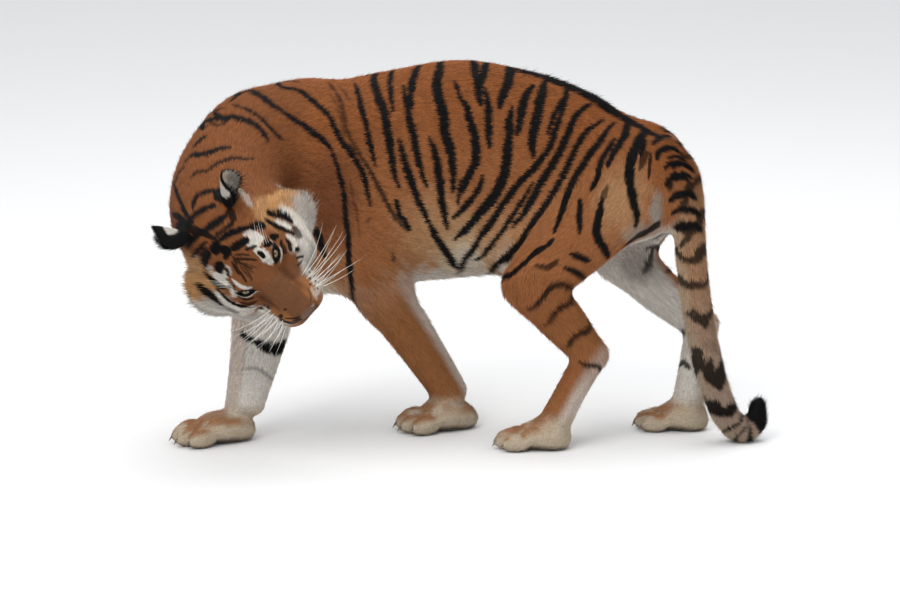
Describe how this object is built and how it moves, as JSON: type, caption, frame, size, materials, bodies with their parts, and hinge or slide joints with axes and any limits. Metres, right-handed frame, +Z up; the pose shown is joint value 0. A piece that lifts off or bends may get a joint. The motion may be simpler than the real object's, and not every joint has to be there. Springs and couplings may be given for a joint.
{
  "type": "siberian tiger",
  "caption": "Life-size still model of an adult Siberian tiger in winter coat, walking with its head lowered and turned back over its left shoulder, tail hanging to the floor.",
  "frame": {"origin": "middle of the bottom of the model's box, on the floor", "axes": "+Z up; the animal walks toward -X and its left side faces -Y"},
  "size_m": [1.5017, 0.7415, 0.9287],
  "materials": {
    "coat_body": "winter fur, orange fading to white under the belly, black stripes",
    "coat_head": "short fur, orange with white patches and black bars",
    "coat_legs": "short fur, orange outside and pale inside",
    "coat_tail": "fur ringed black, black at the tip",
    "coat_ears": "short fur, black behind with a white spot, pale inside",
    "eye": "polished, wet look",
    "nose_leather": "soft matt"
  },
  "bodies": {
    "root": {"trunk": "coat_body", "neck": "coat_body", "head": "coat_head", "tail_root": "coat_tail", "tail_middle": "coat_tail", "tail_tip": "coat_tail", "foreleg_left": "coat_legs", "foreleg_right": "coat_legs", "hindleg_left": "coat_legs", "hindleg_right": "coat_legs", "forepaw_left": "coat_legs", "forepaw_right": "coat_legs", "hindpaw_left": "coat_legs", "hindpaw_right": "coat_legs", "eye_left": "eye", "eye_right": "eye", "ear_left": "coat_ears", "ear_right": "coat_ears", "nose": "nose_leather"}
  },
  "joints": []
}
